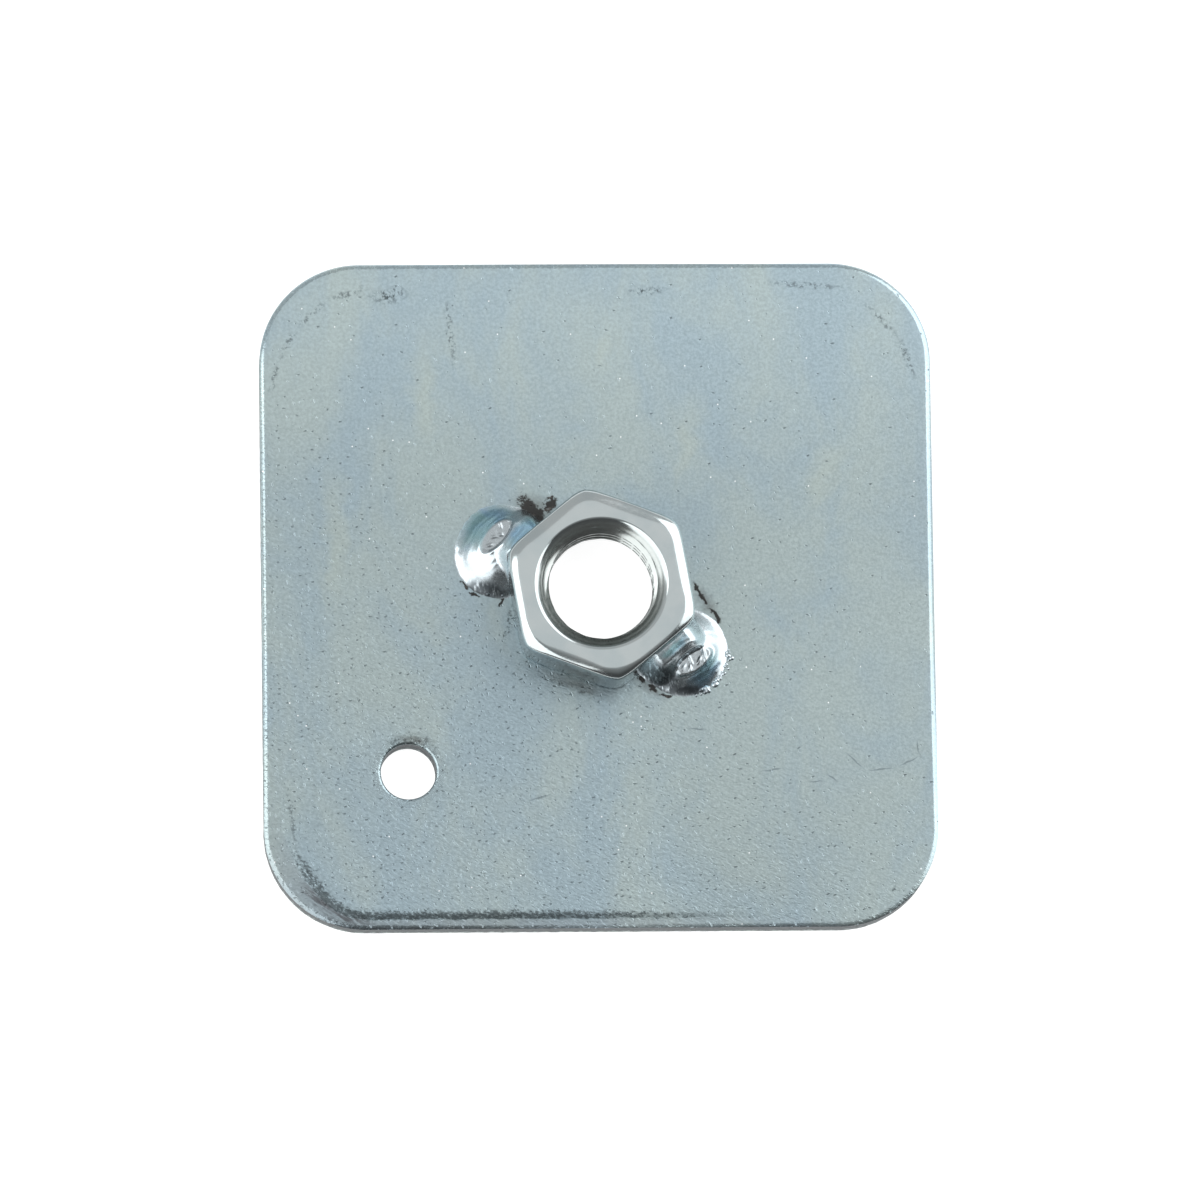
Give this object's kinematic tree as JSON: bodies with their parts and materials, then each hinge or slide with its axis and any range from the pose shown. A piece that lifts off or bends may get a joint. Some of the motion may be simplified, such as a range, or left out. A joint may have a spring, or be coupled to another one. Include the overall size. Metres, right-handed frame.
{
  "type": "plate nut",
  "caption": "Square zinc-plated steel plate with rounded corners, a thin fine-thread hexagon nut welded on its middle and a small locating hole, to anchor a bolt behind a panel.",
  "frame": {"origin": "on the thread's axis, in the plate's underside, which is the middle of the plate", "axes": "+Z along the thread's axis from the plate towards the nut, X and Y along the plate's edges, with the locating hole towards -X and -Y"},
  "size_m": [0.0636, 0.0636, 0.0093],
  "materials": {
    "zinc_plate": "satin zinc plating with a cloudy blue-grey passivation, flecked and worn at the edges",
    "zinc_nut": "bright smooth zinc plating",
    "weld_metal": "bright zinc plating over rippled weld metal, with a blue tint and dark soot at the edges"
  },
  "bodies": {
    "root": {"plate": "zinc_plate", "hex_nut": "zinc_nut", "left_weld": "weld_metal", "right_weld": "weld_metal"}
  },
  "joints": []
}
